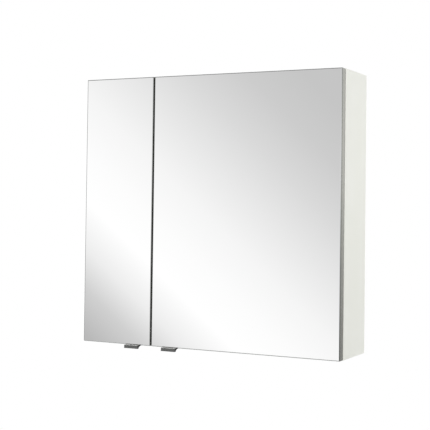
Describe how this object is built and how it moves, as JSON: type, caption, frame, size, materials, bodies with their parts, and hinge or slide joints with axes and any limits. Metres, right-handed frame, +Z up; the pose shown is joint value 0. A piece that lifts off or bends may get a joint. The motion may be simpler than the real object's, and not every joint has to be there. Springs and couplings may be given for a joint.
{
  "type": "medicine cabinet with mirror",
  "caption": "Wall-hung medicine cabinet: narrow and wide mirror doors on concealed hinges, white carcass, glass shelves, small metal pull strips below the doors.",
  "frame": {"origin": "middle of the bottom panel's rear edge, in the wall plane, at the middle of the panel's thickness", "axes": "+X right seen from the front, +Y into the wall, +Z up; the doors face -Y"},
  "size_m": [0.7, 0.1783, 0.6832],
  "materials": {
    "melamine_board": "white melamine facing, satin",
    "hardboard": "white lacquered, matt",
    "edge_band": "satin anodised",
    "mirror_glass": "silvered glass, ground edge",
    "pull_metal": "satin",
    "shelf_glass": "clear, ground edge",
    "support_steel": "nickel plated",
    "hinge_steel": "nickel plated",
    "hanger_steel": "zinc plated"
  },
  "bodies": {
    "cabinet": {"left_side": "melamine_board", "right_side": "melamine_board", "top_panel": "melamine_board", "bottom_panel": "melamine_board", "center_partition": "melamine_board", "back_panel": "hardboard", "left_lower_shelf": "shelf_glass", "left_lower_shelf_support_front_left": "support_steel", "left_lower_shelf_support_front_right": "support_steel", "left_lower_shelf_support_rear_left": "support_steel", "left_lower_shelf_support_rear_right": "support_steel", "left_lower_hinge_mounting_plate": "hinge_steel", "left_lower_hinge_arm": "hinge_steel", "left_upper_shelf": "shelf_glass", "left_upper_shelf_support_front_left": "support_steel", "left_upper_shelf_support_front_right": "support_steel", "left_upper_shelf_support_rear_left": "support_steel", "left_upper_shelf_support_rear_right": "support_steel", "left_upper_hinge_mounting_plate": "hinge_steel", "left_upper_hinge_arm": "hinge_steel", "left_hanger_housing": "hanger_steel", "left_hanger_hook": "hanger_steel", "right_lower_shelf": "shelf_glass", "right_lower_shelf_support_front_left": "support_steel", "right_lower_shelf_support_front_right": "support_steel", "right_lower_shelf_support_rear_left": "support_steel", "right_lower_shelf_support_rear_right": "support_steel", "right_lower_hinge_mounting_plate": "hinge_steel", "right_lower_hinge_arm": "hinge_steel", "right_upper_shelf": "shelf_glass", "right_upper_shelf_support_front_left": "support_steel", "right_upper_shelf_support_front_right": "support_steel", "right_upper_shelf_support_rear_left": "support_steel", "right_upper_shelf_support_rear_right": "support_steel", "right_upper_hinge_mounting_plate": "hinge_steel", "right_upper_hinge_arm": "hinge_steel", "right_hanger_housing": "hanger_steel", "right_hanger_hook": "hanger_steel"},
    "left_outer_links": {"left_lower_hinge_outer_link": "hinge_steel", "left_upper_hinge_outer_link": "hinge_steel"},
    "left_door": {"left_door_board": "melamine_board", "left_door_edging": "edge_band", "left_mirror": "mirror_glass", "left_pull": "pull_metal", "left_lower_hinge_cup": "hinge_steel", "left_upper_hinge_cup": "hinge_steel"},
    "left_inner_links": {"left_lower_hinge_inner_link": "hinge_steel", "left_upper_hinge_inner_link": "hinge_steel"},
    "right_outer_links": {"right_lower_hinge_outer_link": "hinge_steel", "right_upper_hinge_outer_link": "hinge_steel"},
    "right_door": {"right_door_board": "melamine_board", "right_door_edging": "edge_band", "right_mirror": "mirror_glass", "right_pull": "pull_metal", "right_lower_hinge_cup": "hinge_steel", "right_upper_hinge_cup": "hinge_steel"},
    "right_inner_links": {"right_lower_hinge_inner_link": "hinge_steel", "right_upper_hinge_inner_link": "hinge_steel"}
  },
  "joints": [
    {"name": "left_outer_link_swing", "type": "hinge", "parent": "cabinet", "child": "left_outer_links", "pos_m": [-0.312, -0.1362, 0.3295], "axis": [0, 0, 1], "range_deg": [0, 37.5]},
    {"name": "left_door_swing", "type": "hinge", "parent": "left_outer_links", "child": "left_door", "pos_m": [-0.3402, -0.1522, 0.3295], "axis": [0, 0, -1], "range_deg": [0, 132.3]},
    {"name": "left_inner_link_swing", "type": "hinge", "parent": "cabinet", "child": "left_inner_links", "pos_m": [-0.3215, -0.1519, 0.3295], "axis": [0, 0, 1], "range_deg": [0, 57.3]},
    {"name": "right_outer_link_swing", "type": "hinge", "parent": "cabinet", "child": "right_outer_links", "pos_m": [0.312, -0.1362, 0.3295], "axis": [0, 0, -1], "range_deg": [0, 37.5]},
    {"name": "right_door_swing", "type": "hinge", "parent": "right_outer_links", "child": "right_door", "pos_m": [0.3402, -0.1522, 0.3295], "axis": [0, 0, 1], "range_deg": [0, 132.3]},
    {"name": "right_inner_link_swing", "type": "hinge", "parent": "cabinet", "child": "right_inner_links", "pos_m": [0.3215, -0.1519, 0.3295], "axis": [0, 0, -1], "range_deg": [0, 57.3]}
  ],
  "couplings": [
    {"joint": "left_outer_link_swing", "follows": "left_door_swing", "ratio": 0.28213},
    {"joint": "left_inner_link_swing", "follows": "left_door_swing", "ratio": 0.43144},
    {"joint": "right_outer_link_swing", "follows": "right_door_swing", "ratio": 0.28213},
    {"joint": "right_inner_link_swing", "follows": "right_door_swing", "ratio": 0.43144}
  ]
}
